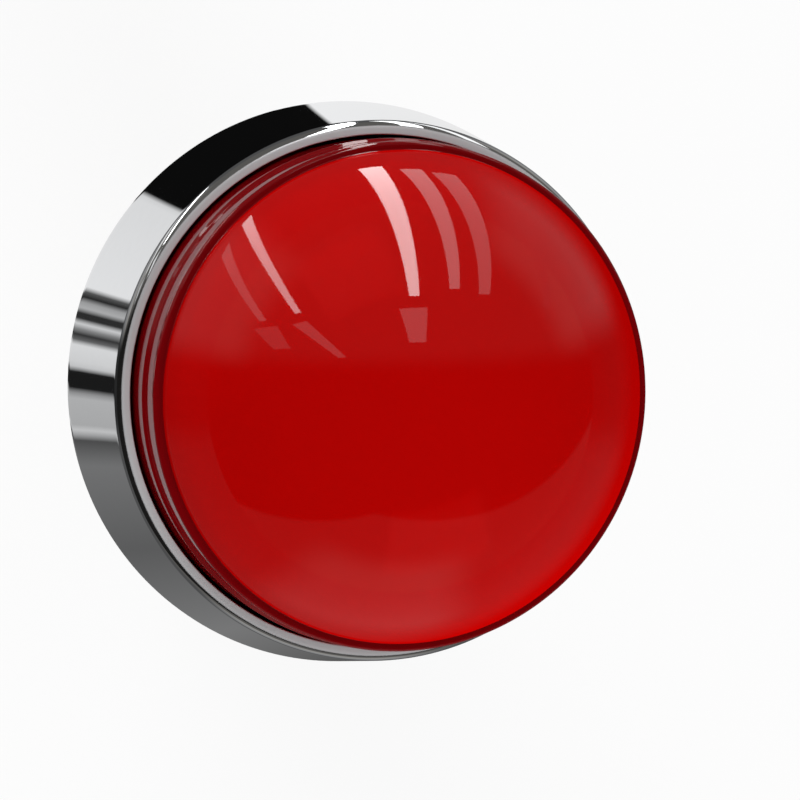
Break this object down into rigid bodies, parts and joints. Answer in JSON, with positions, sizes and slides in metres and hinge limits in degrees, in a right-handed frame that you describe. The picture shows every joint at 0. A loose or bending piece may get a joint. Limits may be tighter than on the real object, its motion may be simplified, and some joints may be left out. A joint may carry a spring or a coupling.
{
  "type": "arcade push button",
  "caption": "Round illuminated arcade push button: glossy red dome lens in a tapered chrome bezel, threaded stem with nut, lamp holder and lever snap switch below.",
  "frame": {"origin": "middle of the panel seat, the flat ring under the bezel, on the button's axis", "axes": "+Z out of the panel along the axis, towards the player; the button is pressed along -Z; +X towards the snap switch's lever pivot"},
  "size_m": [0.06, 0.06, 0.1067],
  "materials": {
    "chrome_plate": "bright chrome plating on moulded plastic",
    "red_lens": "clear red moulding, polished",
    "white_plastic": "satin moulding",
    "black_plastic": "satin moulding",
    "bulb_plastic": "plain moulding",
    "red_pin": "plain moulding",
    "spring_steel": "drawn wire and sheet",
    "contact_brass": "stamped sheet",
    "lamp_clear": "clear cast lamp"
  },
  "bodies": {
    "housing": {"bezel_housing": "chrome_plate", "return_spring": "spring_steel", "lamp_holder": "white_plastic", "lamp_contact_left": "contact_brass", "lamp_contact_right": "contact_brass", "bulb_base": "bulb_plastic", "bulb_lead_left": "spring_steel", "bulb_lead_right": "spring_steel", "led_emitter": "lamp_clear", "switch_case": "black_plastic", "switch_cover": "black_plastic", "terminal_common": "contact_brass", "terminal_open": "contact_brass", "terminal_closed": "contact_brass"},
    "button": {"dome_lens": "red_lens", "light_diffuser": "white_plastic", "plunger": "white_plastic"},
    "nut": {"mounting_nut": "black_plastic"},
    "lever": {"switch_lever": "spring_steel"},
    "pin": {"switch_pin": "red_pin"},
    "blade": {"snap_blade": "contact_brass"}
  },
  "joints": [
    {"name": "button_press", "type": "slide", "parent": "housing", "child": "button", "axis": [0, 0, -1], "range_m": [0, 0.004], "stiffness_N_per_m": 260, "springref_m": -0.006, "deforming": ["return_spring"]},
    {"name": "nut_run", "type": "slide", "parent": "housing", "child": "nut", "axis": [0, 0, 1], "range_m": [-0.012, 0.0099]},
    {"name": "lever_swing", "type": "hinge", "parent": "housing", "child": "lever", "pos_m": [0.0175, -0.00955, -0.04094], "axis": [0, -1, 0], "range_deg": [0, 12.97]},
    {"name": "pin_slide", "type": "slide", "parent": "housing", "child": "pin", "axis": [0, 0, -1], "range_m": [0, 0.00126]},
    {"name": "blade_swing", "type": "hinge", "parent": "housing", "child": "blade", "pos_m": [-0.002, -0.00955, -0.05008], "axis": [0, 1, 0], "range_deg": [0, 5.15]}
  ],
  "couplings": [
    {"joint": "lever_swing", "follows": "button_press", "rad_per_m": 56.562},
    {"joint": "pin_slide", "follows": "button_press", "ratio": 0.31429},
    {"joint": "blade_swing", "follows": "button_press", "rad_per_m": 22.434}
  ]
}
